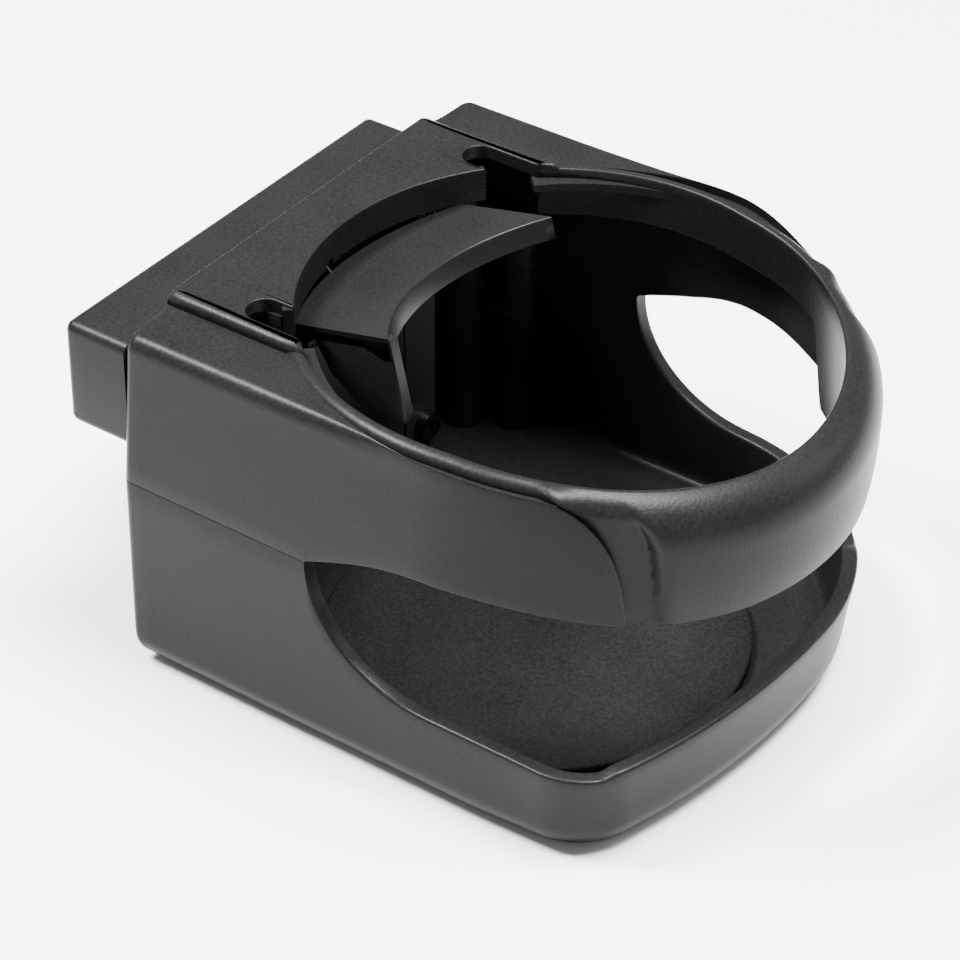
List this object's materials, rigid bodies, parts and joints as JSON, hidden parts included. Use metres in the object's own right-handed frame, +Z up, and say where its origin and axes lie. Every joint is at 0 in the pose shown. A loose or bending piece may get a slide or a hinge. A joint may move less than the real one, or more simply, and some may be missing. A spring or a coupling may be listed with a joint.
{
  "type": "desk clamp cup holder",
  "caption": "Black cup holder that clamps to a desk edge: open-sided ring with a padded tray, a sprung retainer flap and a sprung sliding jaw.",
  "frame": {"origin": "on the tray's underside, on the cup's axis", "axes": "+X across the holder to the right, -Y towards the open front, +Y towards the desk, +Z up along the cup's axis"},
  "size_m": [0.083, 0.1093, 0.0567],
  "materials": {
    "housing": "satin black moulded plastic with a fine grain",
    "flap": "satin black moulded plastic, slightly smoother",
    "inner_plastic": "dark grey moulded plastic",
    "foam_pad": "matt black foam rubber, finely mottled",
    "grip_rubber": "matt black rubber",
    "steel": "blackened steel",
    "spring_steel": "black spring wire"
  },
  "bodies": {
    "holder": {"tray_shell": "housing", "upper_shell": "housing", "top_cover": "housing", "cup_pad": "foam_pad", "hinge_pin": "steel", "hinge_clips": "steel", "flap_spring": "spring_steel", "clamp_block": "housing", "upper_jaw_pad": "grip_rubber", "edge_pads": "grip_rubber", "jaw_channel": "inner_plastic", "jaw_spring_left": "spring_steel", "jaw_spring_right": "spring_steel", "spring_anchors": "steel", "shell_screws": "steel", "cover_screws": "steel", "block_screws": "steel", "channel_screws": "steel"},
    "jaw": {"lower_jaw": "flap", "lower_jaw_pad": "grip_rubber"},
    "flap": {"retainer_flap": "flap"}
  },
  "joints": [
    {"name": "jaw_slide", "type": "slide", "parent": "holder", "child": "jaw", "axis": [0, 0, -1], "range_m": [0, 0.017], "stiffness_N_per_m": 300, "springref_m": -0.01, "deforming": ["jaw_spring_left", "jaw_spring_right"]},
    {"name": "flap_hinge", "type": "hinge", "parent": "holder", "child": "flap", "pos_m": [0, 0.0377, 0.0461], "axis": [1, 0, 0], "range_deg": [0, 75], "stiffness_Nm_per_rad": 0.02, "springref_deg": -20.05, "deforming": ["flap_spring"]}
  ]
}
